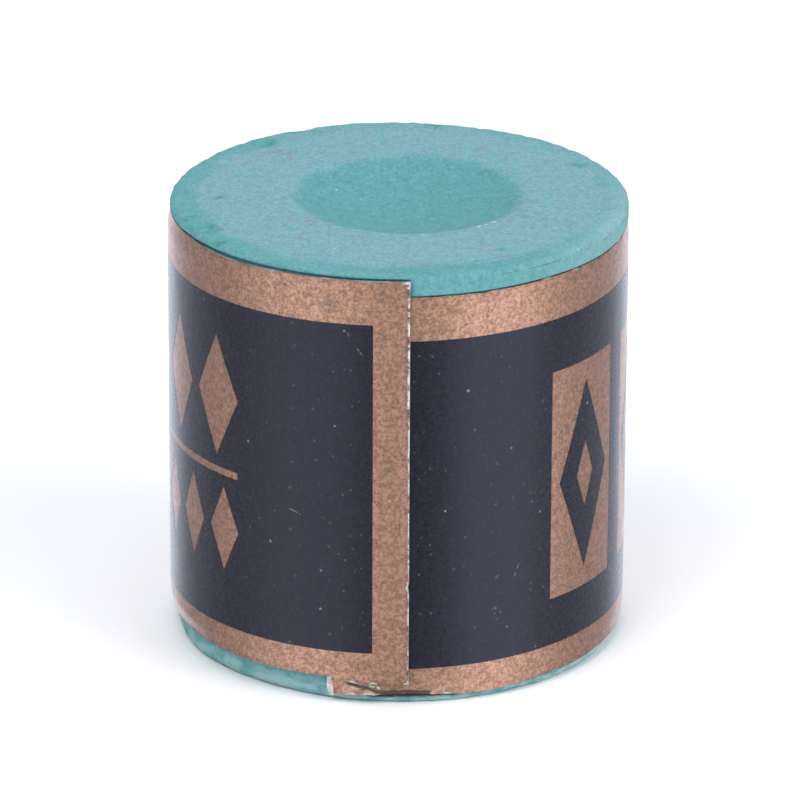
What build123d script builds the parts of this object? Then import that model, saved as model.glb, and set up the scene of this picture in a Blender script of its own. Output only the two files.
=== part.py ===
from build123d import *
import os
from math import atan, cos, degrees, pi, radians, sin

# A stick of billiard cue chalk: a pressed round block with a printed paper label wound round it.
# Millimetres, +Z up, origin at the centre of the face it stands on. The label's lap faces -Y.

# Chalk block
chalk_diameter = 21.8
chalk_height = 22.0
foot_round = 0.35
shoulder_round = 0.35
rim_fall = 0.05  # how far the worn rim drops from the dish's edge to the shoulder
dish_diameter = 11.6
dish_depth = 1.0
dish_edge_round = 1.6

# Label strip, wound anticlockwise seen from above, so that its end lies over its start
label_start_lift = 0.42  # chalk left bare below the strip at its start
label_start_drop = 1.18  # chalk left bare above the strip at its start
label_rise = 0.88  # how far the strip climbs in one turn
lap_length = 4.0
lap_end_angle = 2.8  # degrees round from the front, towards +X
paper_thickness = 0.1
print_thickness = 0.03
glue_thickness = 0.02
film_gap = 0.005  # clearance between one film and the next
glue_margin = 0.8  # paste is kept back from the strip's edges

# Printed panel: bronze bands left open along the strip's four edges
top_band = 2.2
bottom_band = 1.38
end_band = 1.73

# Upright plates left open in the panel, measured along the strip to the right of the front
plate_count = 3
plates_offset = 8.0
plate_pitch = 6.4
plate_width = 4.9
plate_side = 0.55  # plate left beside its window's outer corners
plate_end = 1.0  # plate left above and below its window
plate_foot_margin = 2.4
plate_head_margin = 2.7
plate_diamond_width = 1.3
plate_diamond_height = 3.4

# Two rows of diamonds with a rule between them, measured to the left of the front
rows_offset = 8.3
rows_length = 17.6
rows_foot_margin = 2.9
rows_head_margin = 1.9
row_gap = 0.6
rule_lift = 7.8
rule_width = 0.36
large_diamond_count = 5
large_diamond_width = 3.0
small_diamond_count = 7
small_diamond_width = 2.0

chalk_radius = chalk_diameter / 2
dish_radius = dish_diameter / 2
rim_height = chalk_height - rim_fall
cup_radius = (dish_radius**2 + dish_depth**2) / (2 * dish_depth)

# Radial build-up of the strip at its start, from the chalk outwards
paste_radius = chalk_radius + film_gap
paper_radius = paste_radius + glue_thickness + film_gap
bronze_radius = paper_radius + paper_thickness + film_gap
dark_radius = bronze_radius + print_thickness + film_gap
lap_paste_radius = dark_radius + print_thickness + film_gap
turn_growth = lap_paste_radius + glue_thickness + film_gap - paper_radius
cutter_reach = 1.0  # how far cutting tools pass each side of a film

cone_angle = atan(turn_growth / label_rise)  # the strip's edges run on a cone


def arc_angle(length, radius):
    """Angle in degrees that a length takes up on a circle."""
    return degrees(length / radius)


# Strip and panel, from their own edges
lap_angle = arc_angle(lap_length, lap_paste_radius)
label_start_angle = lap_end_angle - lap_angle
wound_angle = 360 + lap_angle
label_height = chalk_height - label_start_lift - label_start_drop
panel_height = label_height - top_band - bottom_band
plate_height = panel_height - plate_foot_margin - plate_head_margin
window_width = plate_width - 2 * plate_side
window_height = plate_height - 2 * plate_end
small_diamond_height = rule_lift - row_gap - rows_foot_margin
large_diamond_lift = rule_lift + rule_width + row_gap
large_diamond_height = panel_height - rows_head_margin - large_diamond_lift
rows_end_angle = 360 - arc_angle(rows_offset, dark_radius)
rows_start_angle = rows_end_angle - arc_angle(rows_length, dark_radius)


def climb(turned):
    """Height that the strip gains over an angle in degrees."""
    return label_rise * turned / 360


def growth(turned):
    """Radius that the strip gains over an angle in degrees."""
    return turn_growth * turned / 360


def wind(turned_from, turned_to, lift, height, inner, thickness, mode=Mode.ADD):
    """Winds a film of upright section round the block, between two angles along the strip.

    Lift is above the strip's lower edge, and inner is the film's radius at the strip's start.
    """
    angle = label_start_angle + turned_from
    turn = radians(angle)
    outwards = (sin(turn), -cos(turn), 0)
    backwards = (-cos(turn), -sin(turn), 0)
    middle_radius = inner + thickness / 2 + growth(turned_from)
    middle_height = label_start_lift + climb(turned_from) + lift + height / 2
    middle = (middle_radius * outwards[0], middle_radius * outwards[1], middle_height)
    with BuildLine() as helix:
        Helix(
            pitch=label_rise / cos(cone_angle),  # measured along the cone's slope
            height=climb(turned_to - turned_from),
            radius=middle_radius,
            center=(0, 0, middle_height),
            cone_angle=degrees(cone_angle),
        )
    with BuildSketch(Plane(origin=middle, x_dir=outwards, z_dir=backwards)) as section:
        Rectangle(thickness, height)
    path = helix.line.rotate(Axis.Z, angle - 90)  # a helix starts on +X, 90 degrees from the front
    sweep(section.sketch, path=path, is_frenet=True, mode=mode)


def facing_plane(angle, lift):
    """Plane on the axis that faces a place on the panel: local X along the strip, Y up it."""
    turn = radians(angle)
    turned = angle - label_start_angle
    lean = label_rise / (2 * pi * dark_radius)
    height = label_start_lift + climb(turned) + bottom_band + lift
    return Plane(
        origin=(0, 0, height),
        x_dir=(cos(turn), sin(turn), lean),
        z_dir=(sin(turn), -cos(turn), 0),
    )


def diamond(width, height, mode=Mode.ADD):
    """Upright diamond in the current sketch, its lowest corner at the local origin."""
    Polygon(
        (0, 0),
        (width / 2, height / 2),
        (0, height),
        (-width / 2, height / 2),
        align=None,
        mode=mode,
    )


def open_shape(shape):
    """Cuts a flat shape through the film, on the side that it faces."""
    extrude(shape.sketch, amount=chalk_radius + cutter_reach, mode=Mode.SUBTRACT)


def open_plate(angle):
    """Opens an upright plate with a dark diamond window and a small diamond in the window."""
    with BuildSketch(facing_plane(angle, plate_foot_margin)) as plate:
        Rectangle(plate_width, plate_height, align=(Align.CENTER, Align.MIN))
        with Locations((0, plate_end)):
            diamond(window_width, window_height, mode=Mode.SUBTRACT)
        with Locations((0, (plate_height - plate_diamond_height) / 2)):
            diamond(plate_diamond_width, plate_diamond_height)
    open_shape(plate)


def open_diamond_row(count, width, height, lift):
    """Opens a row of diamonds whose two outer corners stand over the ends of the rule."""
    half_width_angle = arc_angle(width / 2, dark_radius)
    first = rows_start_angle + half_width_angle
    last = rows_end_angle - half_width_angle
    for index in range(count):
        angle = first + (last - first) * index / (count - 1)
        with BuildSketch(facing_plane(angle, lift)) as shape:
            diamond(width, height)
        open_shape(shape)


def rings(block):
    """Whole circular edges of a turned solid, from the lowest up."""
    closed_edges = block.edges().filter_by(lambda edge: edge.is_closed)
    return closed_edges.filter_by(GeomType.CIRCLE).sort_by(Axis.Z)


os.makedirs("parts", exist_ok=True)

# Chalk block: a turned outline with a rounded foot, a worn shoulder and a shallow dish
with BuildPart() as chalk_block:
    with BuildSketch(Plane.XZ):
        with BuildLine():
            Polyline(
                (0, chalk_height - dish_depth),
                (0, 0),
                (chalk_radius, 0),
                (chalk_radius, rim_height),
                (dish_radius, chalk_height),
            )
            RadiusArc(
                (dish_radius, chalk_height),
                (0, chalk_height - dish_depth),
                cup_radius,
            )
        make_face()
    revolve(axis=Axis.Z)
    fillet(rings(chalk_block)[-1], radius=dish_edge_round)
    rim_rings = rings(chalk_block).filter_by_position(Axis.Z, rim_height, rim_height)
    fillet(rim_rings.sort_by(SortBy.RADIUS)[-1], radius=shoulder_round)
    fillet(rings(chalk_block)[0], radius=foot_round)
chalk_block.part.label = "chalk_block"
export_step(chalk_block.part, "parts/chalk_block.step")

# Paste between the block and the strip's first turn, filling the space as the strip winds outwards
with BuildPart() as wrap_glue:
    wind(
        arc_angle(glue_margin, paper_radius),
        360 - arc_angle(glue_margin, paper_radius),
        glue_margin,
        label_height - 2 * glue_margin,
        paper_radius - film_gap - turn_growth,
        turn_growth,
    )
    Cylinder(
        radius=paste_radius,
        height=chalk_height + cutter_reach,
        align=(Align.CENTER, Align.CENTER, Align.MIN),
        mode=Mode.SUBTRACT,
    )
wrap_glue.part.label = "wrap_glue"
export_step(wrap_glue.part, "parts/wrap_glue.step")

# Paper strip, one turn and a lap
with BuildPart() as label_paper:
    wind(0, wound_angle, 0, label_height, paper_radius, paper_thickness)
label_paper.part.label = "label_paper"
export_step(label_paper.part, "parts/label_paper.step")

# Bronze coat over the strip's whole outer face
with BuildPart() as bronze_print:
    wind(0, wound_angle, 0, label_height, bronze_radius, print_thickness)
bronze_print.part.label = "bronze_print"
export_step(bronze_print.part, "parts/bronze_print.step")

# Dark panel printed over the bronze, with the bands and the pattern left open
end_band_angle = arc_angle(end_band, dark_radius)
with BuildPart() as dark_print:
    wind(
        end_band_angle,
        wound_angle - end_band_angle,
        bottom_band,
        panel_height,
        dark_radius,
        print_thickness,
    )
    for index in range(plate_count):
        plate_middle = plates_offset + plate_width / 2 + index * plate_pitch
        open_plate(arc_angle(plate_middle, dark_radius))
    open_diamond_row(
        large_diamond_count, large_diamond_width, large_diamond_height, large_diamond_lift
    )
    open_diamond_row(
        small_diamond_count, small_diamond_width, small_diamond_height, rows_foot_margin
    )
    wind(
        rows_start_angle - label_start_angle,
        rows_end_angle - label_start_angle,
        bottom_band + rule_lift,
        rule_width,
        dark_radius - cutter_reach,
        2 * cutter_reach,
        mode=Mode.SUBTRACT,
    )
dark_print.part.label = "dark_print"
export_step(dark_print.part, "parts/dark_print.step")

# Paste between the strip's end and its start
with BuildPart() as lap_glue:
    wind(
        arc_angle(glue_margin, lap_paste_radius),
        lap_angle - arc_angle(glue_margin, lap_paste_radius),
        climb(360) + glue_margin,
        label_height - climb(360) - 2 * glue_margin,
        lap_paste_radius,
        glue_thickness,
    )
lap_glue.part.label = "lap_glue"
export_step(lap_glue.part, "parts/lap_glue.step")
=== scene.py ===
import math
import bmesh
import bpy
from mathutils import Matrix, Quaternion, Vector, noise


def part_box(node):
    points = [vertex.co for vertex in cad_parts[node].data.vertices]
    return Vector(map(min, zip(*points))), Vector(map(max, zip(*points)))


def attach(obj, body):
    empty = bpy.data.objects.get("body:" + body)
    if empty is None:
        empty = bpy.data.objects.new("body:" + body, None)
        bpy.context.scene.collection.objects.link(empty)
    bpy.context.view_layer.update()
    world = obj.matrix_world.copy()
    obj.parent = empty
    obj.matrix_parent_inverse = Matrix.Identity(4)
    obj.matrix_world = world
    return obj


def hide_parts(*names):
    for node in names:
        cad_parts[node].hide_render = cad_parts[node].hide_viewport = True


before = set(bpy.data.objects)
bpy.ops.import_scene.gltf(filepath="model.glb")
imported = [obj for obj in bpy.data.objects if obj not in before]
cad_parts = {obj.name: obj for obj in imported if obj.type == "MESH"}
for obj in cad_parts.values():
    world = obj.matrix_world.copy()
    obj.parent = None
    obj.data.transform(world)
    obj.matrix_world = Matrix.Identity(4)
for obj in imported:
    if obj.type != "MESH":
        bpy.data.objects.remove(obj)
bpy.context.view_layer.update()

mm = 0.001
blockLow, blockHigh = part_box("chalk_block")
paperLow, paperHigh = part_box("label_paper")
blockRadius = (blockHigh.x - blockLow.x) / 2
blockHeight = blockHigh.z


# Numbers


def smooth(low, high, value):  # 0 below low, 1 above high, eased between
    t = min(1.0, max(0.0, (value - low) / (high - low)))
    return t * t * (3 - 2 * t)


def blend(start, end, share):
    return start + (end - start) * share


def wander(x, y=0.0, z=0.0, octaves=3):  # layered noise, about -1 to 1
    return noise.fractal(Vector((x, y, z)), 1.0, 2.0, octaves)


def bump(distance, size):  # 1 in the middle, 0 past size
    return 1 - smooth(0, size, distance)


def humps(value, places):  # places are middle, reach and size, and their sizes add up
    return sum(size * bump(abs(value - middle), reach) for middle, reach, size in places)


# Pieces


def newPiece(name, bm, material):
    mesh = bpy.data.meshes.new(name)
    bm.to_mesh(mesh)
    bm.free()
    mesh.materials.append(material)
    mesh.polygons.foreach_set("use_smooth", [True] * len(mesh.polygons))
    piece = bpy.data.objects.new(name, mesh)
    bpy.context.scene.collection.objects.link(piece)
    return piece


def faceOutwards(bm):  # an open sheet wound round the axis
    bmesh.ops.recalc_face_normals(bm, faces=bm.faces)
    lean = sum(face.normal.x * face.calc_center_median().x + face.normal.y * face.calc_center_median().y
               for face in bm.faces)
    if lean < 0:
        bmesh.ops.reverse_faces(bm, faces=bm.faces)
    for edge in bm.edges:
        edge.smooth = not edge.is_boundary  # a crisp cut edge


def thicken(piece, thickness):  # the mesh is the outer face, the wall goes inwards
    wall = piece.modifiers.new("wall", "SOLIDIFY")
    wall.thickness = thickness
    wall.offset = -1
    return piece


# Nodes


def fillSockets(tree, made, inputs):  # a socket gets a link, or a value of its own
    for socket, value in inputs.items():
        if isinstance(value, bpy.types.NodeSocket):
            tree.links.new(value, made.inputs[socket])
        else:
            made.inputs[socket].default_value = value
    return made


def addNode(tree, kind, inputs=None, **settings):
    made = tree.nodes.new("ShaderNode" + kind)
    for name, value in settings.items():
        setattr(made, name, value)
    return fillSockets(tree, made, inputs or {})


def mixColour(tree, factor, under, over, way="MIX"):
    colourA, colourB, result = 6, 7, 2  # the colour sockets among a Mix node's many
    inputs = {0: factor, colourA: under, colourB: over}
    made = addNode(tree, "Mix", inputs, data_type="RGBA", blend_type=way)
    return made.outputs[result]


def mathNode(tree, way, first, second=0.0):
    return addNode(tree, "Math", {0: first, 1: second}, operation=way).outputs[0]


def readMark(tree, name):  # a mark that a piece carries on its points
    return addNode(tree, "Attribute", attribute_name=name).outputs["Fac"]


def remap(tree, value, low, high, newLow=0.0, newHigh=1.0):
    inputs = {"Value": value, "From Min": low, "From Max": high, "To Min": newLow, "To Max": newHigh}
    return addNode(tree, "MapRange", inputs, interpolation_type="SMOOTHSTEP").outputs["Result"]


def newGroup(name, inputs, outputs):
    tree = bpy.data.node_groups.new(name, "ShaderNodeTree")
    for socketName, kind, value in inputs:
        socket = tree.interface.new_socket(socketName, in_out="INPUT", socket_type=kind)
        if value is not None:
            socket.default_value = value
    for socketName, kind in outputs:
        tree.interface.new_socket(socketName, in_out="OUTPUT", socket_type=kind)
    return tree, tree.nodes.new("NodeGroupInput"), tree.nodes.new("NodeGroupOutput")


def useGroup(tree, group, inputs):
    made = tree.nodes.new("ShaderNodeGroup")
    made.node_tree = group
    return fillSockets(tree, made, inputs)


def startMaterial(name):
    material = bpy.data.materials.new(name)
    material.use_nodes = True
    tree = material.node_tree
    tree.nodes.clear()
    surface = tree.nodes.new("ShaderNodeBsdfPrincipled")
    output = tree.nodes.new("ShaderNodeOutputMaterial")
    tree.links.new(surface.outputs["BSDF"], output.inputs["Surface"])
    place = tree.nodes.new("ShaderNodeTexCoord").outputs["Object"]
    return material, tree, surface, place


# Shared effects: each group gives masks and values only


def makeGrainGroup():  # fine and coarse grain in one value around 0.5
    tree, given, out = newGroup(
        "powderGrain",
        [
            ("Vector", "NodeSocketVector", None),
            ("Fine", "NodeSocketFloat", 9000.0),
            ("Coarse", "NodeSocketFloat", 1800.0),
            ("Coarse Share", "NodeSocketFloat", 0.4),
        ],
        [("Value", "NodeSocketFloat")],
    )
    fine = addNode(tree, "TexNoise", {"Vector": given.outputs["Vector"], "Scale": given.outputs["Fine"],
                                      "Detail": 2.0, "Roughness": 0.6})
    coarse = addNode(tree, "TexNoise", {"Vector": given.outputs["Vector"], "Scale": given.outputs["Coarse"],
                                        "Detail": 3.0, "Roughness": 0.55})
    both = addNode(tree, "Mix", {0: given.outputs["Coarse Share"], 2: fine.outputs["Fac"],
                                 3: coarse.outputs["Fac"]}, data_type="FLOAT")
    tree.links.new(both.outputs[0], out.inputs["Value"])
    return tree


def makePatchGroup():  # soft-edged patches
    tree, given, out = newGroup(
        "softPatches",
        [
            ("Vector", "NodeSocketVector", None),
            ("Scale", "NodeSocketFloat", 400.0),
            ("Start", "NodeSocketFloat", 0.55),
            ("Full", "NodeSocketFloat", 0.7),
            ("Shift", "NodeSocketFloat", 0.0),
        ],
        [("Mask", "NodeSocketFloat")],
    )
    moved = addNode(tree, "VectorMath", {0: given.outputs["Vector"], 1: given.outputs["Shift"]},
                    operation="ADD")
    patch = addNode(tree, "TexNoise", {"Vector": moved.outputs[0], "Scale": given.outputs["Scale"],
                                       "Detail": 4.0, "Roughness": 0.62})
    mask = remap(tree, patch.outputs["Fac"], given.outputs["Start"], given.outputs["Full"])
    tree.links.new(mask, out.inputs["Mask"])
    return tree


def makeSpeckGroup():  # scattered specks, one to a cell, most cells left empty
    tree, given, out = newGroup(
        "looseSpecks",
        [
            ("Vector", "NodeSocketVector", None),
            ("Scale", "NodeSocketFloat", 900.0),
            ("Size", "NodeSocketFloat", 0.12),
            ("Share", "NodeSocketFloat", 0.2),
        ],
        [("Mask", "NodeSocketFloat")],
    )
    cells = addNode(tree, "TexVoronoi", {"Vector": given.outputs["Vector"], "Scale": given.outputs["Scale"],
                                         "Randomness": 1.0})
    pick = addNode(tree, "SeparateColor", {"Color": cells.outputs["Color"]})
    chosen = mathNode(tree, "LESS_THAN", pick.outputs["Red"], given.outputs["Share"])
    smallest = 0.35  # of Size
    reach = mathNode(tree, "MULTIPLY", given.outputs["Size"],
                     mathNode(tree, "ADD", pick.outputs["Green"], smallest))
    spot = mathNode(tree, "SUBTRACT", 1.0, mathNode(tree, "DIVIDE", cells.outputs["Distance"], reach))
    soft = remap(tree, spot, 0.0, 0.6)
    tree.links.new(mathNode(tree, "MULTIPLY", soft, chosen), out.inputs["Mask"])
    return tree


def makeScratchGroup():  # one fine broken line through a given middle
    tree, given, out = newGroup(
        "fineScratch",
        [
            ("Vector", "NodeSocketVector", None),
            ("Centre", "NodeSocketVector", None),
            ("Across", "NodeSocketVector", None),
            ("Length", "NodeSocketFloat", 0.001),
        ],
        [("Mask", "NodeSocketFloat")],
    )
    offset = addNode(tree, "VectorMath", {0: given.outputs["Vector"], 1: given.outputs["Centre"]},
                     operation="SUBTRACT").outputs[0]
    side = addNode(tree, "VectorMath", {0: offset, 1: given.outputs["Across"]}, operation="DOT_PRODUCT")
    outerHalf, innerHalf = 0.032 * mm, 0.008 * mm  # of its width
    line = remap(tree, mathNode(tree, "ABSOLUTE", side.outputs["Value"]), outerHalf, innerHalf)
    away = addNode(tree, "VectorMath", {0: offset}, operation="LENGTH").outputs["Value"]
    within = remap(tree, mathNode(tree, "DIVIDE", away, given.outputs["Length"]), 0.5, 0.3)
    broken = addNode(tree, "TexNoise", {"Vector": given.outputs["Vector"], "Scale": 5200.0, "Detail": 1.0})
    mask = mathNode(tree, "MULTIPLY", line, within)
    mask = mathNode(tree, "MULTIPLY", mask, remap(tree, broken.outputs["Fac"], 0.38, 0.55))
    tree.links.new(mask, out.inputs["Mask"])
    return tree


powderGrain = makeGrainGroup()
softPatches = makePatchGroup()
looseSpecks = makeSpeckGroup()
fineScratch = makeScratchGroup()


def grainAt(tree, place, fine, coarse, share=0.4):
    inputs = {"Vector": place, "Fine": fine, "Coarse": coarse, "Coarse Share": share}
    return useGroup(tree, powderGrain, inputs).outputs["Value"]


def patchesAt(tree, place, scale, start, full, shift=0.0):
    inputs = {"Vector": place, "Scale": scale, "Start": start, "Full": full, "Shift": shift}
    return useGroup(tree, softPatches, inputs).outputs["Mask"]


def specksAt(tree, place, scale, size, share):
    inputs = {"Vector": place, "Scale": scale, "Size": size, "Share": share}
    return useGroup(tree, looseSpecks, inputs).outputs["Mask"]


def scratchAt(tree, place, centre, across, length):
    inputs = {"Vector": place, "Centre": centre, "Across": across, "Length": length}
    return useGroup(tree, fineScratch, inputs).outputs["Mask"]


def setBump(tree, surface, height, distance):
    made = addNode(tree, "Bump", {"Height": height, "Distance": distance, "Strength": 1.0})
    tree.links.new(made.outputs["Normal"], surface.inputs["Normal"])


# Label strip: along runs round the block from the front towards +X, up runs from its lower edge,
# and out is from its inner face

strip = {
    "rise": 0.88 * mm,  # in one turn
    "growth": 0.2 * mm,  # radius gained in one turn
    "lap": 4.0 * mm,
    "lap end": 2.8,  # degrees right of the front
    "inner gap": 0.03 * mm,  # from the block to the paper at the strip's start
    "paper": 0.1 * mm,
    "bronze": 0.03 * mm,
    "ink": 0.005 * mm,
    "gap": 0.005 * mm,
    "printed face": 0.17 * mm,  # out from the block, where lengths along the strip are true
    "lap paste": 0.205 * mm,  # and where the lap's length is
}
bronzeOut = strip["paper"] + strip["gap"] + strip["bronze"]
inkOut = bronzeOut + strip["gap"] / 2 + strip["ink"]
innerRadius = blockRadius + strip["inner gap"]
stripRadius = blockRadius + strip["printed face"]
lapRadius = blockRadius + strip["lap paste"]
fullTurn = 2 * math.pi
lapEnd = math.radians(strip["lap end"])
stripStart = lapEnd - strip["lap"] / lapRadius
startAlong = stripStart * stripRadius
endAlong = (fullTurn + lapEnd) * stripRadius
footLift = paperLow.z
stripHeight = paperHigh.z - footLift - strip["rise"] * (fullTurn + lapEnd - stripStart) / fullTurn
headDips = {"right": (66, 30, 0.07 * mm), "left": (312, 20, 0.06 * mm)}  # degrees, reach, depth


# Chalk: pressed powder, dusty on the rim, fresher in the dish and on the wall

chalkLook = {
    "fresh": (0.102, 0.302, 0.309, 1),
    "dusty": (0.164, 0.346, 0.372, 1),
    "side": (0.124, 0.336, 0.343, 1),
    "pale": (0.223, 0.304, 0.372, 1),
    "smudge": (0.250, 0.225, 0.330, 1),
    "shade": (0.040, 0.225, 0.215, 1),
    "gap": (0.060, 0.048, 0.042, 1),
    "crumbAndPaintedLight": (0.640, 0.760, 0.760, 1),
    "grain depth": 0.035 * mm,
}
chalkMarks = ("dust", "side", "scuffShade", "gap", "smear", "crumbAndPaintedLight")


def makeChalkMaterial(look):
    material, tree, surface, place = startMaterial("pressedChalk")
    # marks of dust and wear, and of painted light and shade
    worn = {name: readMark(tree, name) for name in chalkMarks}
    cloud = patchesAt(tree, place, 520.0, 0.3, 0.7)
    broken = mathNode(tree, "ADD", worn["dust"], remap(tree, cloud, 0.0, 1.0, -0.20, 0.20))
    colour = mixColour(tree, remap(tree, broken, 0.05, 0.95), look["fresh"], look["dusty"])
    colour = mixColour(tree, worn["side"], colour, look["side"])
    bloom = patchesAt(tree, place, 2400.0, 0.50, 0.66, 0.13)  # fine lavender bloom
    bloom = mathNode(tree, "MULTIPLY", bloom, remap(tree, worn["dust"], 0.0, 1.0, 0.25, 0.75))
    colour = mixColour(tree, bloom, colour, look["pale"])
    smudge = mathNode(tree, "MULTIPLY", patchesAt(tree, place, 700.0, 0.60, 0.72, 0.31), worn["dust"])
    smudge = mathNode(tree, "MAXIMUM", mathNode(tree, "MULTIPLY", smudge, 0.5), worn["smear"])
    colour = mixColour(tree, smudge, colour, look["smudge"])
    # painted shade in the scuffed dents and the ring grooves
    colour = mixColour(tree, worn["scuffShade"], colour, look["shade"])
    grain = grainAt(tree, place, 6200.0, 2000.0, 0.3)
    tone = remap(tree, grain, 0.28, 0.72, 0.81, 1.17)
    shaded = addNode(tree, "CombineColor", {"Red": tone, "Green": tone, "Blue": tone}).outputs["Color"]
    colour = mixColour(tree, 1.0, colour, shaded, "MULTIPLY")
    # pale crumbs and specks, and painted light on the right shoulder and near the foot
    fleck = mathNode(tree, "MAXIMUM", specksAt(tree, place, 2600.0, 0.12, 0.06), worn["crumbAndPaintedLight"])
    colour = mixColour(tree, mathNode(tree, "MULTIPLY", fleck, 0.75), colour, look["crumbAndPaintedLight"])
    # painted shadow under the lap's lifted foot
    colour = mixColour(tree, worn["gap"], colour, look["gap"])
    tree.links.new(colour, surface.inputs["Base Color"])
    tree.links.new(remap(tree, grain, 0.3, 0.7, 0.86, 0.98), surface.inputs["Roughness"])
    surface.inputs["Specular IOR Level"].default_value = 0.15
    setBump(tree, surface, grain, look["grain depth"])
    return material


chalk = {
    "steps": 360,  # round the axis
    "shoulder": 0.26 * mm,
    "foot": 0.35 * mm,  # as turned, before its wear
    "worn below": 2.6 * mm,  # the wall is even above this
    "foot zone": 3.0 * mm,  # only points below this are reshaped or shaded
    "dish radius": 5.8 * mm,
    "dish depth": 1.0 * mm,
    "dish ease": 0.13 * mm,
    "dish centre": (0.42 * mm, 0.42 * mm),
    "rim fall": 0.04 * mm,
    "grain": 0.020 * mm,
    "lump": 0.035 * mm,
    "crumble": 0.10 * mm,
    "flare": 0.21 * mm,  # how far the crown swells out above the label
    "front flare": 0.09 * mm,
    "ring width": 0.11 * mm,
    "ring bearing": (33, 34),  # degrees right of the front, reach
    "ring shade": (22, 50, 0.32),  # the same, and strength
    "label gap": (0.27 * mm, 0.33 * mm),  # heights where the shade under the lap starts and is full
}
footWears = (  # degrees right of the front, reach, size
    (-38, 42, 0.24 * mm),
    (-92, 34, 0.60 * mm),
    (84, 36, 0.55 * mm),
)
rimRadius = blockRadius - chalk["shoulder"]
scuffs = (  # degrees right of the front, radius, size, depth
    (-63, 10.25 * mm, 0.85 * mm, 0.07 * mm),
    (-53, 10.55 * mm, 0.55 * mm, 0.06 * mm),
    (-72, 10.50 * mm, 0.45 * mm, 0.05 * mm),
    (-88, 8.75 * mm, 0.40 * mm, 0.04 * mm),
    (33, 8.9 * mm, 0.30 * mm, 0.02 * mm),
    (118, 9.9 * mm, 0.6 * mm, 0.05 * mm),
    (171, 10.4 * mm, 0.7 * mm, 0.07 * mm),
    (-140, 10.1 * mm, 0.8 * mm, 0.05 * mm),
)
smears = (  # degrees, radius, size
    (58, 6.35 * mm, 0.42 * mm),
    (64, 6.7 * mm, 0.30 * mm),
    (50, 6.3 * mm, 0.25 * mm),
    (-38, 7.6 * mm, 0.30 * mm),
    (150, 8.0 * mm, 0.45 * mm),
)
crumbs = (  # degrees, radius, size
    (42.5, 5.62 * mm, 0.20 * mm),
    (51.5, 5.78 * mm, 0.18 * mm),
    (46.5, 5.70 * mm, 0.13 * mm),
    (12.0, 5.50 * mm, 0.14 * mm),
    (-8.0, 5.42 * mm, 0.10 * mm),
)
rings = ((10.45 * mm, 0.035 * mm), (10.12 * mm, 0.022 * mm), (9.70 * mm, 0.014 * mm))  # radius, depth


def onCircle(angle, radius):  # degrees right of the front
    turn = math.radians(angle)
    return Vector((radius * math.sin(turn), -radius * math.cos(turn)))


def bearing(x, y):  # degrees right of the front
    return math.degrees(math.atan2(x, -y))


scuffPlaces = [(onCircle(angle, radius), size, depth) for angle, radius, size, depth in scuffs]
smearPlaces = [(onCircle(angle, radius), size, 1.0) for angle, radius, size in smears]
crumbPlaces = [(onCircle(angle, radius), size, 1.0) for angle, radius, size in crumbs]


def spotsAt(x, y, places, spread=1.0):  # places are middle, size and strength
    return sum(strength * bump(math.hypot(x - middle.x, y - middle.y), spread * size)
               for middle, size, strength in places)


def crownDrop(x, y):  # how far the worn top lies below the block's full height
    radius = math.hypot(x, y)
    fromDish = math.hypot(x - chalk["dish centre"][0], y - chalk["dish centre"][1])
    rim = chalk["rim fall"] * smooth(chalk["dish radius"], rimRadius, radius)
    share = fromDish / chalk["dish radius"]
    dish = chalk["dish depth"] * (1 - share * share)
    ease = chalk["dish ease"]
    nearness = max(ease - abs(rim - dish), 0) / ease  # rounds the dish's lip
    drop = max(rim, dish) + nearness * nearness * ease / 4 + spotsAt(x, y, scuffPlaces)
    ringMiddle, ringReach = chalk["ring bearing"]
    nearRight = bump(abs(bearing(x, y) - ringMiddle), ringReach)
    for ringRadius, depth in rings:
        drop += depth * nearRight * bump(abs(radius - ringRadius), chalk["ring width"])
    return drop


def footWear(angle):  # size of the crumbled foot
    wear = 0.20 * mm + humps(angle, footWears)
    return wear + 0.06 * mm * wander(angle / 9.0, 4.0) + 0.04 * mm * wander(angle / 2.5, 8.0)


def outlineStretch(points, start, end, count):
    for i in range(1, count + 1):
        points.append((blend(start[0], end[0], i / count), blend(start[1], end[1], i / count)))


def chalkOutline():  # radius and height, from the middle of the top down to the middle of the base
    points = [(0.0, blockHeight)]
    reach = 0.0
    for radius, count in ((5.0 * mm, 28), (6.6 * mm, 24), (9.4 * mm, 20), (rimRadius, 25)):
        outlineStretch(points, (reach, blockHeight), (radius, blockHeight), count)
        reach = radius
    shoulder = chalk["shoulder"]
    quarter = [math.pi / 2 * i / 8 for i in range(1, 9)]
    for turn in quarter:
        points.append((rimRadius + shoulder * math.sin(turn), blockHeight - shoulder * (1 - math.cos(turn))))
    foot = chalk["foot"]
    high = blockHeight - shoulder
    wall = ((blockHeight - 1.3 * mm, 26), (blockHeight - 2.2 * mm, 4), (chalk["worn below"], 7), (foot, 28))
    for height, count in wall:
        outlineStretch(points, (blockRadius, high), (blockRadius, height), count)
        high = height
    for turn in quarter:
        points.append((blockRadius - foot * (1 - math.cos(turn)), foot * (1 - math.sin(turn))))
    outlineStretch(points, (blockRadius - foot, 0.0), (0.0, 0.0), 22)
    return points


def labelTop(angle):  # height of the label's outer upper edge, in degrees right of the front
    turned = (math.radians(angle) - lapEnd) % fullTurn + lapEnd - stripStart
    dip = humps(angle, [headDips["right"]])
    return footLift + stripHeight + strip["rise"] * turned / fullTurn - dip


def wornFoot(radius, height, angle):  # reshapes the outline's even foot to the wear at this angle
    foot, wear, low = chalk["foot"], footWear(angle), chalk["worn below"]
    if height >= low:
        return radius, height
    if height >= foot:
        return radius, blend(wear, low, (height - foot) / (low - foot))
    if radius > blockRadius - foot:
        return blockRadius - (blockRadius - radius) * wear / foot, height * wear / foot
    return radius * (blockRadius - wear) / (blockRadius - foot), height


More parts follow.
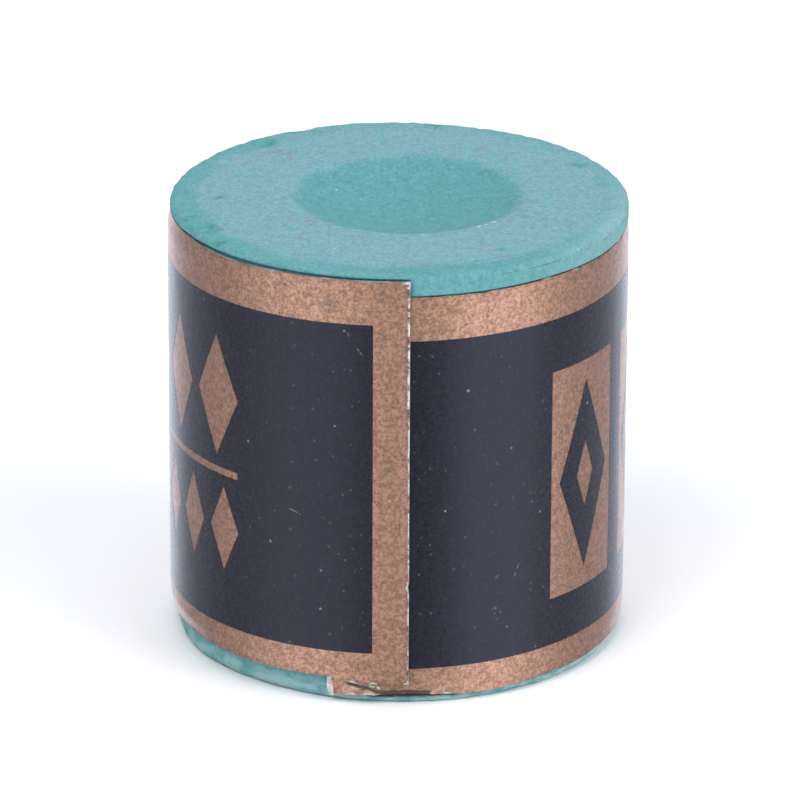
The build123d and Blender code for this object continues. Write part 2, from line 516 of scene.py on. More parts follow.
def makeChalkBlock(material):
    bm = bmesh.new()
    ring = [bm.verts.new((radius, 0, height)) for radius, height in chalkOutline()]
    edges = [bm.edges.new(pair) for pair in zip(ring, ring[1:])]
    bmesh.ops.spin(bm, geom=ring + edges, axis=(0, 0, 1), cent=(0, 0, 0), steps=chalk["steps"],
                   angle=2 * math.pi, use_merge=True)
    bmesh.ops.remove_doubles(bm, verts=bm.verts, dist=0.0005 * mm)
    bmesh.ops.recalc_face_normals(bm, faces=bm.faces)
    bm.normal_update()
    layers = {name: bm.verts.layers.float.new(name) for name in chalkMarks}
    for vert, normal in [(vert, vert.normal.copy()) for vert in bm.verts]:
        wearChalk(vert, normal, layers)
    piece = newPiece("chalkBlock", bm, material)
    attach(piece, "root")
    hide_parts("chalk_block")


def wearChalk(vert, normal, layers):  # marks a point of the turned block and moves it to the worn surface
    x, y, z = vert.co
    radius = math.hypot(x, y)
    angle = bearing(x, y)
    onTop = smooth(blockHeight - 1.1 * chalk["shoulder"], blockHeight - 0.2 * chalk["shoulder"], z)
    markTop(vert, layers, x, y, radius, onTop)
    if z > blockHeight - chalk["shoulder"]:
        vert.co.z -= crownDrop(x, y)
    if radius > 0 and z < chalk["foot zone"]:
        newRadius, newHeight = wornFoot(radius, z, angle)
        vert.co = Vector((x * newRadius / radius, y * newRadius / radius, newHeight))
        vert[layers["gap"]] = gapShade(angle, newHeight)
    px, py, pz = vert.co / mm
    away = chalk["grain"] * wander(px * 2.6, py * 2.6, pz * 2.6, 4)
    away += chalk["lump"] * wander(px * 0.55, py * 0.55, pz * 0.55 + 7, 2)
    edge = smooth(blockRadius - 0.7 * mm, blockRadius, radius)
    aboveLabel = z - labelTop(angle)
    flare = blend(chalk["flare"], chalk["front flare"], bump(abs(angle + 28), 50))
    flare *= edge * smooth(-0.02 * mm, 0.10 * mm, aboveLabel)
    vert.co += Vector((x, y, 0)) * (flare / max(radius, mm))
    ends = onTop + smooth(0.9 * mm, 0.0, z)
    away += edge * ends * chalk["crumble"] * min(0.0, wander(px * 1.9, py * 1.9, pz * 2 + 3, 3))
    if z < 0.001 * mm:  # the base, which only wears upwards
        vert.co.z += abs(away) * 0.5
    elif onTop > 0.5:
        vert.co += normal * away
    else:  # the wall keeps clear of the label, and is held near its top edge
        deepest = -0.1 * mm * smooth(-0.3 * mm, -0.8 * mm, aboveLabel) - 0.006 * mm
        vert.co += normal * min(max(away, deepest), 0.0)


def markTop(vert, layers, x, y, radius, onTop):  # where the top is dusty, scuffed, smeared or crumbed; the scuffs and ring grooves get painted shade, the right shoulder and the foot painted light
    fromDish = math.hypot(x - chalk["dish centre"][0], y - chalk["dish centre"][1])
    uneven = 0.16 * mm * wander(x / mm * 0.5, y / mm * 0.5, 1.0, 2)
    outside = smooth(0.85 * chalk["dish radius"], 1.04 * chalk["dish radius"], fromDish + uneven)
    nearEdge = smooth(rimRadius - 1.25 * mm, rimRadius - 0.35 * mm, radius + 2.5 * uneven)
    nearEdge *= blend(0.35, 1.0, smooth(150, 50, abs(bearing(x, y) + 40)))
    vert[layers["dust"]] = outside * (1 - 0.85 * nearEdge)
    vert[layers["side"]] = 1 - onTop * (1 - 0.35 * nearEdge)
    patchy = smooth(-0.35, 0.35, wander(x / mm * 2.4, y / mm * 2.4, 2.0))
    scuffed = spotsAt(x, y, [(middle, size, 0.85) for middle, size, depth in scuffPlaces], 1.25)
    # painted shade along the ring grooves
    turned = sum(bump(abs(radius - ringRadius), 0.12 * mm) for ringRadius, depth in rings)
    turned *= humps(bearing(x, y), [chalk["ring shade"]])
    vert[layers["scuffShade"]] = onTop * patchy * min(1.0, scuffed + turned)
    vert[layers["smear"]] = onTop * 0.95 * patchy * min(1.0, spotsAt(x, y, smearPlaces))
    z = vert.co.z
    # painted bounce light from the floor: pale patches near the foot
    footBounceLight = smooth(-0.5, 0.3, wander(x / mm * 1.3, y / mm * 1.3, z / mm * 2.6))
    footBounceLight *= 0.40 * smooth(1.3 * mm, 0.4 * mm, z)
    # painted highlight: the right shoulder made paler
    rightShoulderHighlight = 0.15 * bump(abs(bearing(x, y) - 68), 45) * smooth(rimRadius - 0.8 * mm, rimRadius, radius)
    vert[layers["crumbAndPaintedLight"]] = min(1.0, onTop * spotsAt(x, y, crumbPlaces) + footBounceLight + rightShoulderHighlight)


def gapShade(angle, height):  # painted shadow in the gap under the lap's lifted foot
    under = smooth(-9, -6, angle) * smooth(18, 14, angle)
    low, full = chalk["label gap"]
    return under * smooth(low, full, height)


print("chalk block")
makeChalkBlock(makeChalkMaterial(chalkLook))


loose = {
    "ripple": 0.010 * mm,
    "edge ripple": 0.007 * mm,
    "edge": 2.0 * mm,  # how far in the edge ripple reaches
    "held": 0.8 * mm,  # how far from the edges the strip hugs the block
    "held share": 0.85,
    "end lift": (0.045 * mm, 0.6 * mm),  # height, reach
    "corner lift": (0.05 * mm, 1.0 * mm),
}
fold = {  # the crushed foot of the strip's start, below the lap
    "to": 11.0,  # degrees right of the front
    "height": 0.75 * mm,
    "flare": 0.10 * mm,
    "curl": 0.20 * mm,  # at the strip's very start
    "curl width": 0.5 * mm,
    "flap": 0.10 * mm,  # what stands out below the tear
    "flap ease": 0.25 * mm,
    "tear from": (-12.8, 0.62 * mm),  # degrees and height up the strip
    "tear to": (-4.4, 0.14 * mm),
    "tear depth": 0.045 * mm,
    "tear width": 0.14 * mm,
}


def degreesAlong(along):  # degrees right of the front, past 360 on the outer ply
    return math.degrees(along / stripRadius)


def looseness(along, up):  # how far the paper stands off its even winding
    turned = along / stripRadius - stripStart
    fromTop = stripHeight - up
    nearEdge = bump(min(up, fromTop), loose["edge"])
    off = loose["ripple"] * wander(along / mm * 0.35, up / mm * 0.22, 5.0)
    off += loose["edge ripple"] * nearEdge * wander(along / mm * 1.2, up / mm * 0.8, 9.0)
    held = smooth(math.radians(340), math.radians(312), turned)
    gap = strip["growth"] * turned / fullTurn
    off -= loose["held share"] * gap * held * bump(min(up, fromTop), loose["held"])
    toEnd = endAlong - along
    endLift, endReach = loose["end lift"]
    cornerLift, cornerReach = loose["corner lift"]
    off += endLift * bump(toEnd, endReach) + cornerLift * bump(math.hypot(toEnd, fromTop), cornerReach)
    return off + foldOut(along, up)


def foldOut(along, up):  # how far the crushed foot stands out, and sinks at its tear
    angle = degreesAlong(along)
    if angle > fold["to"] + 6 or up > fold["height"]:
        return 0.0
    spread = smooth(fold["to"] + 3, fold["to"] - 4, angle)
    wave = 0.8 + 0.35 * wander(along / mm * 1.1, 2.0)
    fromStart = along - startAlong
    off = fold["flare"] * spread * wave * bump(up, fold["height"])
    off += fold["curl"] * bump(fromStart, fold["curl width"]) * bump(up, fold["height"])
    above, beside = tearPlace(along, up)
    off += fold["flap"] * smooth(0.0, -fold["flap ease"], above) * beside
    return off - fold["tear depth"] * bump(abs(above), fold["tear width"]) * beside


def tearPlace(along, up):  # how far above the slanting tear, and 1 along its length
    (startAngle, startUp), (endAngle, endUp) = fold["tear from"], fold["tear to"]
    angle = degreesAlong(along)
    share = (angle - startAngle) / (endAngle - startAngle)
    ragged = 0.035 * mm * wander(along / mm * 3.0, 31.0)
    beside = smooth(-0.10, 0.06, share) * smooth(1.14, 0.98, share)
    return up - blend(startUp, endUp, share) - ragged, beside


def onStrip(along, up, out):
    turn = along / stripRadius
    turned = (turn - stripStart) / fullTurn
    radius = innerRadius + strip["growth"] * turned + out + looseness(along, up)
    height = footLift + strip["rise"] * turned + up
    return Vector((radius * math.sin(turn), -radius * math.cos(turn), height))


def nick(x, seed, usual, deepest, rarity=0.36):  # how far an edge has worn back at x
    fuzz = usual * (1 + 0.8 * wander(x / mm * 2.2, seed, 0.0, 4))
    bite = deepest * smooth(rarity, rarity + 0.3, wander(x / mm * 1.1, seed + 11.0, 3.0, 3))
    return max(0.0, fuzz) + bite


footDips = (  # degrees round the strip, reach, how far above its even line
    (2, 13, 0.12 * mm),
    (24, 22, -0.17 * mm),
    (48, 22, -0.10 * mm),
)
flakedSpots = (  # degrees round the strip, reach, depth
    (-11.0, 1.4, 0.13 * mm),
    (-7.6, 1.3, 0.13 * mm),
    (12.6, 2.2, 0.13 * mm),
    (349.0, 2.2, 0.13 * mm),
    (354.2, 1.6, 0.13 * mm),
    (362.6, 1.6, 0.13 * mm),
)


def unevenFoot(along):  # the lower edge as it was cut and crushed, above its even line
    angle = degreesAlong(along)
    startHang, endHang = 0.10 * mm, 0.26 * mm  # how far each end hangs below it
    return humps(angle, footDips) - startHang * smooth(-13, -16, angle) - endHang * smooth(343, 350, angle)


def unevenHead(along):  # the upper edge, below its even line
    return humps(degreesAlong(along), headDips.values())


def spreadOut(index, count, fineCount, length, margin):  # cells crowd within the margins
    if index <= fineCount:
        return margin * index / fineCount
    if index >= count - fineCount:
        return length - margin * (count - index) / fineCount
    return blend(margin, length - margin, (index - fineCount) / (count - 2 * fineCount))


sheet = {
    "columns": 380,
    "rows": 96,
    "fine columns": 14,
    "fine rows": 20,
    "end margin": 0.9 * mm,
    "edge margin": 0.8 * mm,
}


def woundSheet(name, material, out, thickness, inset, mark):
    columns, rows = sheet["columns"], sheet["rows"]
    endMargin, edgeMargin = sheet["end margin"], sheet["edge margin"]
    bm = bmesh.new()
    bmesh.ops.create_grid(bm, x_segments=columns, y_segments=rows, size=0.5)
    worn, shadowAndGrime = bm.verts.layers.float.new("worn"), bm.verts.layers.float.new("shadowAndGrime")
    length = endAlong - startAlong
    for vert in bm.verts:
        column, row = round((vert.co.x + 0.5) * columns), round((vert.co.y + 0.5) * rows)
        along = startAlong + spreadOut(column, columns, sheet["fine columns"], length, endMargin)
        up = spreadOut(row, rows, sheet["fine rows"], stripHeight, edgeMargin)
        vert[worn], vert[shadowAndGrime] = mark(along, up)
        start, end, low, high = inset(along, up)
        along += start * bump(along - startAlong, endMargin)
        along -= end * bump(endAlong - along, endMargin)
        up += low * bump(up, edgeMargin) - high * bump(stripHeight - up, edgeMargin)
        vert.co = onStrip(along, up, out)
    faceOutwards(bm)
    piece = thicken(newPiece(name, bm, material), thickness)
    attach(piece, "root")
    return piece


def paperInset(along, up):  # how far in the start, end, foot and head are cut
    return (
        nick(up, 1.0, 0.012 * mm, 0.06 * mm) + 0.20 * mm * bump(up, 0.5 * mm),
        nick(up, 2.0, 0.010 * mm, 0.05 * mm),
        nick(along, 3.0, 0.010 * mm, 0.04 * mm) + unevenFoot(along),
        nick(along, 4.0, 0.010 * mm, 0.05 * mm) + unevenHead(along),
    )


def bronzeInset(along, up):  # the print has flaked back from the cut edges, most at the lap
    start, end, low, high = paperInset(along, up)
    start += 0.04 * mm + 0.14 * mm * bump(abs(up - 0.5 * mm), 0.6 * mm)
    end += 0.008 * mm + 0.07 * mm * (bump(stripHeight - up, 0.5 * mm) + 0.8 * bump(up, 0.3 * mm))
    low += humps(degreesAlong(along), flakedSpots)
    high += 0.05 * mm * bump(endAlong - along, 0.5 * mm)
    return (
        start + nick(up, 5.0, 0.02 * mm, 0.08 * mm),
        end + nick(up, 6.0, 0.010 * mm, 0.03 * mm, 0.34),
        low + nick(along, 7.0, 0.006 * mm, 0.10 * mm, 0.45),
        high + nick(along, 8.0, 0.006 * mm, 0.08 * mm, 0.42),
    )


def paperTorn(along, up):  # 1 where the fibres are fresh and white, 0 where the cut edge is soiled; at the left front the cut edges are made darker as painted shadow
    fromTop, fromStart, toEnd = stripHeight - up, along - startAlong, endAlong - along
    soiledEnd = bump(toEnd, 0.4 * mm) * smooth(0.9 * mm, 2.4 * mm, fromTop) * smooth(0.1 * mm, 0.4 * mm, up)
    inside = smooth(0.0, 0.06 * mm, min(up, fromTop, fromStart, toEnd)) * (1 - 0.5 * soiledEnd)
    end = bump(toEnd, 0.05 * mm) * smooth(-0.5, 0.35, wander(up / mm * 1.6, 21.0))
    start = bump(fromStart, 0.05 * mm)
    angle = degreesAlong(along)
    # painted shadow: the cut edges darker at the left front
    leftShadow = smooth(286, 296, angle) * smooth(340, 328, angle)
    edge = (0.75 - 0.6 * leftShadow) * smooth(0.05, 0.5, wander(along / mm * 1.4, 23.0, fromTop / mm * 0.1))
    corner = bump(math.hypot(fromTop, toEnd), 0.5 * mm)
    return max(inside, 0.6 * end, start, edge, corner), 0.0


grimeSpots = (  # degrees round the strip, height up it, size
    (343.5, 19.2 * mm, 0.62 * mm),
    (356.0, 19.65 * mm, 0.42 * mm),
    (357.2, 11.0 * mm, 0.50 * mm),
    (221.0, 19.0 * mm, 0.70 * mm),
    (352.0, 0.75 * mm, 0.55 * mm),
)


def bronzeWorn(along, up):  # 1 at the edges that fingers catch
    fromTop, toEnd = stripHeight - up, endAlong - along
    angle = degreesAlong(along)
    edge = bump(min(up, fromTop), 0.22 * mm) * 0.55
    end = bump(toEnd, blend(0.16 * mm, 0.28 * mm, smooth(9 * mm, 5 * mm, fromTop)))
    corner = bump(math.hypot(fromTop, toEnd), 0.7 * mm)
    start = bump(along - startAlong, 0.3 * mm)
    foot = bump(up, 0.16 * mm) * smooth(14, 8, angle)
    above, beside = tearPlace(along, up)
    torn = bump(abs(above - 0.19 * mm), 0.15 * mm) * smooth(-0.45, 0.0, wander(along / mm * 2.2, 33.0))
    worn = max(edge, end, corner, start, 0.8 * foot, 1.6 * torn * beside)
    return min(1.0, worn), bronzeShadowAndGrime(along, up)


def bronzeShadowAndGrime(along, up):  # 1 in the painted shadow of the tear and along the foot under the lap, less in a spot of grime
    angle = degreesAlong(along)
    above, beside = tearPlace(along, up)
    # painted shadow below the torn edge
    shadowAndGrime = bump(abs(above + 0.03 * mm), 0.25 * mm) * beside
    # painted shadow along the foot under the lap
    darkened = 0.15 * mm * (1 + 0.5 * wander(along / mm * 1.5, 41.0))
    underLap = smooth(-6, -3, angle) * smooth(9.5, 7.5, angle)
    shadowAndGrime = max(shadowAndGrime, smooth(1.9 * darkened, darkened, up) * underLap)
    for at, height, size in grimeSpots:
        distance = math.hypot(math.radians(angle - at) * stripRadius, up - height)
        shadowAndGrime = max(shadowAndGrime, 0.55 * bump(distance, size))
    return min(1.0, shadowAndGrime)


# Paper: white uncoated fibre, soiled along its cut edges, with painted shadow on its cut edges at the left
# front

paperLook = {
    "white": (0.76, 0.76, 0.74, 1),
    "grey": (0.46, 0.47, 0.46, 1),
    "soilAndShadow": (0.125, 0.100, 0.085, 1),
    "chalk dust": (0.200, 0.300, 0.300, 1),
}


def makePaperMaterial(look):
    material, tree, surface, place = startMaterial("labelFibre")
    worn = readMark(tree, "worn")
    stretched = addNode(tree, "Mapping", {"Vector": place, "Scale": (1.0, 1.0, 0.35)}).outputs["Vector"]
    fibre = grainAt(tree, stretched, 9000.0, 3000.0, 0.5)
    clean = mixColour(tree, remap(tree, fibre, 0.35, 0.65), look["grey"], look["white"])
    dusty = patchesAt(tree, place, 900.0, 0.45, 0.6, 0.7)
    darkened = mixColour(tree, dusty, look["soilAndShadow"], look["chalk dust"])
    tree.links.new(mixColour(tree, worn, darkened, clean), surface.inputs["Base Color"])
    tree.links.new(remap(tree, fibre, 0.3, 0.7, 0.8, 0.95), surface.inputs["Roughness"])
    surface.inputs["Specular IOR Level"].default_value = 0.2
    setBump(tree, surface, fibre, 0.02 * mm)
    return material


# Bronze: metallic print, finely mottled with dark pits and pale flakes, worn through at its edges, with
# painted shadow in its tear and along its foot under the lap

dustTint = (0.80, 0.85, 1.0, 1)  # a pale film on handled print
bronzeLook = {
    "light": (0.735, 0.412, 0.280, 1),
    "deep": (0.375, 0.192, 0.126, 1),
    "pit": (0.075, 0.052, 0.050, 1),
    "grime": (0.150, 0.125, 0.115, 1),
    "flake": (0.900, 0.700, 0.580, 1),
    "fibre": (0.720, 0.720, 0.700, 1),
    "dark edge": (0.070, 0.045, 0.035, 1),
    "metal": 0.72,
    "varnish": 0.55,
    "dust film": 0.50,
}


def makeBronzeMaterial(look):
    material, tree, surface, place = startMaterial("bronzeInk")
    worn = readMark(tree, "worn")
    grain = grainAt(tree, place, 7500.0, 3200.0, 0.4)
    colour = mixColour(tree, remap(tree, grain, 0.36, 0.64), look["deep"], look["light"])
    pits = patchesAt(tree, place, 6800.0, 0.57, 0.67, 0.5)
    thick = patchesAt(tree, place, 750.0, 0.46, 0.66, 0.9)  # where the pits crowd together
    pitShare = mathNode(tree, "MULTIPLY", pits, remap(tree, thick, 0.0, 1.0, 0.55, 1.0))
    colour = mixColour(tree, pitShare, colour, look["pit"])
    grime = patchesAt(tree, place, 1100.0, 0.64, 0.76, 0.23)
    grime = mathNode(tree, "MULTIPLY", grime, patchesAt(tree, place, 5200.0, 0.42, 0.58, 0.77))
    shadowAndGrime = readMark(tree, "shadowAndGrime")
    # grime patches, in the grime spots and also fringing the painted shadows
    patchy = patchesAt(tree, place, 3600.0, 0.36, 0.60, 0.77)
    smudge = mathNode(tree, "MULTIPLY", patchy, remap(tree, shadowAndGrime, 0.0, 0.6))
    grime = mathNode(tree, "MAXIMUM", grime, smudge)
    colour = mixColour(tree, mathNode(tree, "MULTIPLY", grime, 0.7), colour, look["grime"])
    flake = patchesAt(tree, place, 8200.0, 0.64, 0.72, 0.37)
    colour = mixColour(tree, mathNode(tree, "MULTIPLY", flake, 0.55), colour, look["flake"])
    dust = specksAt(tree, place, 1300.0, 0.09, 0.5)
    colour = mixColour(tree, mathNode(tree, "MULTIPLY", dust, 0.85), colour, look["fibre"])
    beads = patchesAt(tree, place, 3000.0, 0.42, 0.56, 0.61)
    darkened = mathNode(tree, "MULTIPLY", worn, patchesAt(tree, place, 2600.0, 0.46, 0.56, 0.83))
    colour = mixColour(tree, mathNode(tree, "MULTIPLY", darkened, 0.7), colour, look["dark edge"])
    bare = mathNode(tree, "MULTIPLY", beads, remap(tree, worn, 0.55, 0.95))
    colour = mixColour(tree, bare, colour, look["fibre"])
    # painted shadow in the tear and along the foot under the lap
    paintedShadow = remap(tree, shadowAndGrime, 0.6, 0.85)
    colour = mixColour(tree, paintedShadow, colour, look["dark edge"])
    tree.links.new(colour, surface.inputs["Base Color"])
    tree.links.new(remap(tree, grain, 0.3, 0.7, 0.44, 0.34), surface.inputs["Roughness"])
    dull = mathNode(tree, "MAXIMUM", mathNode(tree, "MAXIMUM", bare, paintedShadow), pitShare)
    covered = mathNode(tree, "SUBTRACT", 1.0, dull)
    tree.links.new(mathNode(tree, "MULTIPLY", covered, look["metal"]), surface.inputs["Metallic"])
    surface.inputs["Coat Weight"].default_value = look["varnish"]
    surface.inputs["Coat Roughness"].default_value = 0.30
    surface.inputs["Sheen Weight"].default_value = look["dust film"]
    surface.inputs["Sheen Roughness"].default_value = 0.40
    surface.inputs["Sheen Tint"].default_value = dustTint
    setBump(tree, surface, grain, 0.005 * mm)
    return material


print("label paper and bronze print")
labelPaper = woundSheet("labelPaper", makePaperMaterial(paperLook), strip["paper"], strip["paper"],
                        paperInset, paperTorn)
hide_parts("label_paper")
bronzePrint = woundSheet("bronzePrint", makeBronzeMaterial(bronzeLook), bronzeOut, strip["bronze"],
                         bronzeInset, bronzeWorn)
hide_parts("bronze_print")


# Dark panel: a flat sheet with its pattern cut out, then wound on with the strip

panel = {
    "top band": 2.2 * mm,
    "bottom band": 1.38 * mm,
    "end band": 1.73 * mm,
    "column": 0.3 * mm,  # the cuts that let it bend
    "row": 0.5 * mm,
    "corner": 0.06 * mm,
    "weld": 0.0002 * mm,  # points this close to a cut are on it
}
plates = {
    "count": 3,
    "offset": 8.0 * mm,
    "pitch": 6.4 * mm,
    "width": 4.9 * mm,
    "side": 0.55 * mm,
    "end": 1.0 * mm,
    "foot": 2.4 * mm,
    "head": 2.7 * mm,
    "diamond": (1.3 * mm, 3.4 * mm),
    "corner": 0.05 * mm,
}
diamonds = {  # a rule between two rows
    "offset": 8.3 * mm,
    "length": 17.6 * mm,
    "foot": 2.9 * mm,
    "head": 1.9 * mm,
    "gap": 0.6 * mm,
    "rule lift": 7.8 * mm,
    "rule": 0.36 * mm,
    "large": (5, 3.0 * mm),  # how many, and how wide
    "small": (7, 2.0 * mm),
}
panelFoot = panel["bottom band"]
panelHead = stripHeight - panel["top band"]


def outlineRectangle(bm, left, right, low, high, corner, segments=3):
    place = Matrix.Translation(((left + right) / 2, (low + high) / 2, 0))
    size = Matrix.Diagonal((right - left, high - low, 1, 1))
    square = bmesh.ops.create_grid(bm, x_segments=1, y_segments=1, size=0.5, matrix=place @ size)
    bmesh.ops.bevel(bm, geom=square["verts"], offset=corner, segments=segments, affect="VERTICES",
                    profile=0.5, material=-1)
    bmesh.ops.delete(bm, geom=bm.faces[:], context="FACES_ONLY")


def outlineDiamond(bm, middle, low, width, height):
    place = Matrix.Translation((middle, low + height / 2, 0))
    size = Matrix.Diagonal((width / 2, height / 2, 1, 1))
    bmesh.ops.create_circle(bm, cap_ends=False, segments=4, radius=1.0, matrix=place @ size)


def outlinePlate(bm, left):  # a plate with a dark diamond window, and a small diamond in the window
    low, high = panelFoot + plates["foot"], panelHead - plates["head"]
    right = left + plates["width"]
    middle, side, end = (left + right) / 2, plates["side"], plates["end"]
    outlineRectangle(bm, left, right, low, high, plates["corner"])
    outlineDiamond(bm, middle, low + end, plates["width"] - 2 * side, high - low - 2 * end)
    width, height = plates["diamond"]
    outlineDiamond(bm, middle, (low + high - height) / 2, width, height)


def outlineRows(bm):
    right = fullTurn * stripRadius - diamonds["offset"]
    left = right - diamonds["length"]
    ruleLow = panelFoot + diamonds["rule lift"]
    ruleHigh = ruleLow + diamonds["rule"]
    roundedEnd = diamonds["rule"] * 0.49  # just short of half, so its corners don't meet
    outlineRectangle(bm, left, right, ruleLow, ruleHigh, roundedEnd, 4)
    levels = (
        (diamonds["large"], ruleHigh + diamonds["gap"], panelHead - diamonds["head"]),
        (diamonds["small"], panelFoot + diamonds["foot"], ruleLow - diamonds["gap"]),
    )
    for (count, width), low, high in levels:
        for i in range(count):
            middle = blend(left + width / 2, right - width / 2, i / (count - 1))
            outlineDiamond(bm, middle, low, width, high - low)


def cutAcross(bm, normal, start, end, step):
    count = math.ceil((end - start) / step)
    for i in range(1, count):
        everything = bm.verts[:] + bm.edges[:] + bm.faces[:]
        bmesh.ops.bisect_plane(bm, geom=everything, dist=panel["weld"],
                               plane_co=normal * blend(start, end, i / count), plane_no=normal)


def makeDarkPanel(material):
    bm = bmesh.new()
    left, right = startAlong + panel["end band"], endAlong - panel["end band"]
    outlineRectangle(bm, left, right, panelFoot, panelHead, panel["corner"])
    for i in range(plates["count"]):
        outlinePlate(bm, plates["offset"] + i * plates["pitch"])
    outlineRows(bm)
    bmesh.ops.triangle_fill(bm, use_beauty=True, use_dissolve=False, edges=bm.edges[:])
    cutAcross(bm, Vector((0, 1, 0)), panelFoot, panelHead, panel["row"])
    cutAcross(bm, Vector((1, 0, 0)), left, right, panel["column"])
    for vert in bm.verts:
        vert.co = onStrip(vert.co.x, vert.co.y, inkOut)
    faceOutwards(bm)
    piece = thicken(newPiece("darkPanel", bm, material), strip["ink"])
    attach(piece, "root")
    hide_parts("dark_print")


def wallPoint(angle, height):  # a place on the panel, in degrees right of the front and millimetres up
    x, y = onCircle(angle, stripRadius)
    return x, y, height * mm


darkLook = {
    "ink": (0.0045, 0.0043, 0.0098, 1),
    "thin": (0.0140, 0.0135, 0.0245, 1),
    "speck": (0.62, 0.70, 0.72, 1),
    "brown": (0.20, 0.11, 0.08, 1),
    "sheen tint": (0.80, 0.82, 1.0, 1),
    "dust film": 0.72,
    "speck share": 0.30,
    "faint share": 0.10,
    "scratch share": 0.34,
    "dust share": 0.50,
    "scratches": (  # middle, direction across the line, length
        (wallPoint(-12.3, 18.95), (0.87, 0.0, 0.50), 0.55 * mm),
        (wallPoint(-9.5, 18.15), (0.80, 0.0, 0.60), 0.70 * mm),
        (wallPoint(-26.0, 9.6), (0.35, 0.0, 0.94), 0.90 * mm),
        (wallPoint(31.0, 6.4), (0.92, 0.2, -0.35), 0.80 * mm),
    ),
    "dust groups": (  # middle, reach
        (wallPoint(-55.0, 18.7), 1.0 * mm),
        (wallPoint(-3.0, 12.4), 0.8 * mm),
        (wallPoint(27.0, 4.1), 0.9 * mm),
    ),
}


def makeDarkMaterial(look):
    material, tree, surface, place = startMaterial("darkInk")
    grain = grainAt(tree, place, 8500.0, 4200.0, 0.4)
    colour = mixColour(tree, remap(tree, grain, 0.36, 0.66), look["ink"], look["thin"])
    brown = specksAt(tree, place, 1500.0, 0.12, 0.5)
    colour = mixColour(tree, mathNode(tree, "MULTIPLY", brown, 0.35), colour, look["brown"])
    speck = specksAt(tree, place, 950.0, 0.075, 0.6)
    faint = specksAt(tree, place, 2100.0, 0.13, 0.8)
    dusty = mathNode(tree, "MAXIMUM", mathNode(tree, "MULTIPLY", speck, look["speck share"]),
                     mathNode(tree, "MULTIPLY", faint, look["faint share"]))
    for centre, across, length in look["scratches"]:
        scratch = scratchAt(tree, place, centre, across, length)
        dusty = mathNode(tree, "MAXIMUM", dusty, mathNode(tree, "MULTIPLY", scratch, look["scratch share"]))
    for centre, reach in look["dust groups"]:
        away = addNode(tree, "VectorMath", {0: place, 1: centre}, operation="DISTANCE").outputs["Value"]
        thick = specksAt(tree, place, 3300.0, 0.26, 0.5)
        near = mathNode(tree, "MULTIPLY", thick, remap(tree, away, reach, 0.3 * reach))
        dusty = mathNode(tree, "MAXIMUM", dusty, mathNode(tree, "MULTIPLY", near, look["dust share"]))
    colour = mixColour(tree, dusty, colour, look["speck"])
    tree.links.new(colour, surface.inputs["Base Color"])
    tree.links.new(remap(tree, grain, 0.3, 0.7, 0.24, 0.32), surface.inputs["Roughness"])
    surface.inputs["Specular Tint"].default_value = look["sheen tint"]
    surface.inputs["Specular IOR Level"].default_value = 0.58
    surface.inputs["Sheen Weight"].default_value = look["dust film"]
    surface.inputs["Sheen Roughness"].default_value = 0.38
    surface.inputs["Sheen Tint"].default_value = dustTint
    setBump(tree, surface, grain, 0.003 * mm)
    return material


print("dark panel")
makeDarkPanel(makeDarkMaterial(darkLook))


# Dried paste, hidden under the label

pasteLook = {"dry": (0.62, 0.55, 0.42, 1), "thin": (0.78, 0.74, 0.64, 1)}


def makePasteMaterial(look):
    material, tree, surface, place = startMaterial("driedPaste")
    streak = patchesAt(tree, place, 900.0, 0.4, 0.65)
    tree.links.new(mixColour(tree, streak, look["dry"], look["thin"]), surface.inputs["Base Color"])
    tree.links.new(remap(tree, streak, 0.0, 1.0, 0.4, 0.65), surface.inputs["Roughness"])
    setBump(tree, surface, streak, 0.01 * mm)
    return material


driedPaste = makePasteMaterial(pasteLook)
for name in ("wrap_glue", "lap_glue"):
    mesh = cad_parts[name].data
    mesh.materials.clear()
    mesh.materials.append(driedPaste)


# Floor, light and camera

room = {
    "floor size": 1.6,
    "floor": (0.96, 0.96, 0.96, 1),
    "floor shade": (0.94, 0.94, 0.945, 1),
    "open": 0.55,  # a pale studio all round
    "areas": (  # degrees right of the front, half-widths where full and where gone, change
        (6, 6, 30, -0.24),
        (49, 9, 31, 0.66),
        (-46, 8, 30, 0.42),
        (116, 16, 42, -0.37),
        (-116, 16, 42, -0.37),
        (180, 20, 46, 0.72),
    ),
    "white": (1.0, 1.0, 1.0, 1),
    "cool": (0.94, 0.965, 1.05, 1),  # what the block is lit by
}
softboxes = (  # name, place, size, power
    ("keyLight", (-0.22, -0.30, 0.50), 0.40, 1.35),
    ("fillLight", (0.40, -0.22, 0.30), 0.34, 1.15),
    ("topLight", (0.0, 0.02, 0.75), 0.50, 1.40),
)
cameraSetup = {
    "pivot height": 10.0 * mm,  # the camera's place is measured from here
    "distance": 348.0 * mm,
    "elevation": 21.67,
    "aim": (0.074 * mm, 0.0, 11.37 * mm),
    "roll": 0.26,
    "lens": 319.5,
}


def makeFloor(look):
    material, tree, surface, place = startMaterial("paleFloor")
    cloud = patchesAt(tree, place, 6.0, 0.4, 0.6)
    tree.links.new(mixColour(tree, cloud, look["floor shade"], look["floor"]), surface.inputs["Base Color"])
    surface.inputs["Roughness"].default_value = 0.9
    bm = bmesh.new()
    bmesh.ops.create_grid(bm, x_segments=8, y_segments=8, size=look["floor size"] / 2)
    floor = newPiece("floor", bm, material)
    floor.visible_glossy = False


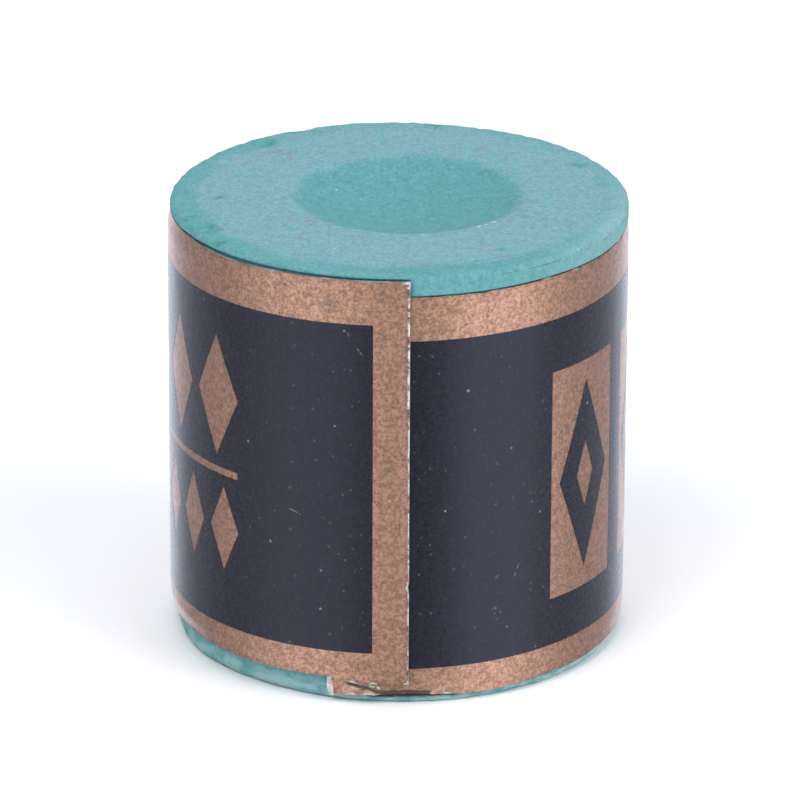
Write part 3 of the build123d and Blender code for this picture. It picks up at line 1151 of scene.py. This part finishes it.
def makeLight(name, place, size, power):
    lamp = bpy.data.lights.new(name, "AREA")
    lamp.shape = "DISK"
    lamp.size = size
    lamp.energy = power
    light = bpy.data.objects.new(name, lamp)
    bpy.context.scene.collection.objects.link(light)
    light.location = place
    toBlock = Vector((0, 0, blockHeight / 2)) - light.location
    light.rotation_euler = toBlock.to_track_quat("-Z", "Y").to_euler()


def makeStudio(look):  # white all round, with dimmer and brighter areas for the gloss to pick up
    world = bpy.data.worlds.new("studio")
    world.use_nodes = True
    tree = world.node_tree
    direction = addNode(tree, "TexCoord").outputs["Generated"]
    upright = (1.0, 1.0, 0.2)  # the areas stand tall
    flat = addNode(tree, "VectorMath", {0: direction, 1: upright}, operation="MULTIPLY").outputs[0]
    flat = addNode(tree, "VectorMath", {0: flat}, operation="NORMALIZE").outputs[0]
    strength = look["open"]
    for angle, full, gone, change in look["areas"]:
        towards = (math.sin(math.radians(angle)), -math.cos(math.radians(angle)), 0.0)
        near = addNode(tree, "VectorMath", {0: flat, 1: towards}, operation="DOT_PRODUCT").outputs["Value"]
        area = remap(tree, near, math.cos(math.radians(gone)), math.cos(math.radians(full)), 0.0, change)
        strength = mathNode(tree, "ADD", strength, area)
    seen = addNode(tree, "LightPath").outputs["Is Camera Ray"]
    strength = mathNode(tree, "MAXIMUM", strength, seen)
    background = tree.nodes["Background"]
    tree.links.new(mixColour(tree, seen, look["cool"], look["white"]), background.inputs["Color"])
    tree.links.new(strength, background.inputs["Strength"])
    bpy.context.scene.world = world


def makeCamera(setup):
    lens = bpy.data.cameras.new("camera")
    lens.lens = setup["lens"]
    lens.sensor_width = 36.0
    lens.clip_start, lens.clip_end = 1 * mm, 10.0
    camera = bpy.data.objects.new("camera", lens)
    bpy.context.scene.collection.objects.link(camera)
    tilt = math.radians(setup["elevation"])
    back = Vector((0, -math.cos(tilt), math.sin(tilt)))
    camera.location = Vector((0, 0, setup["pivot height"])) + back * setup["distance"]
    look = (Vector(setup["aim"]) - camera.location).to_track_quat("-Z", "Y")
    roll = Quaternion((0, 0, 1), math.radians(setup["roll"]))
    camera.rotation_euler = (look @ roll).to_euler()
    bpy.context.scene.camera = camera


print("floor, light and camera")
makeFloor(room)
makeStudio(room)
for name, place, size, power in softboxes:
    makeLight(name, place, size, power)
makeCamera(cameraSetup)
bpy.context.scene.view_settings.view_transform = "Standard"
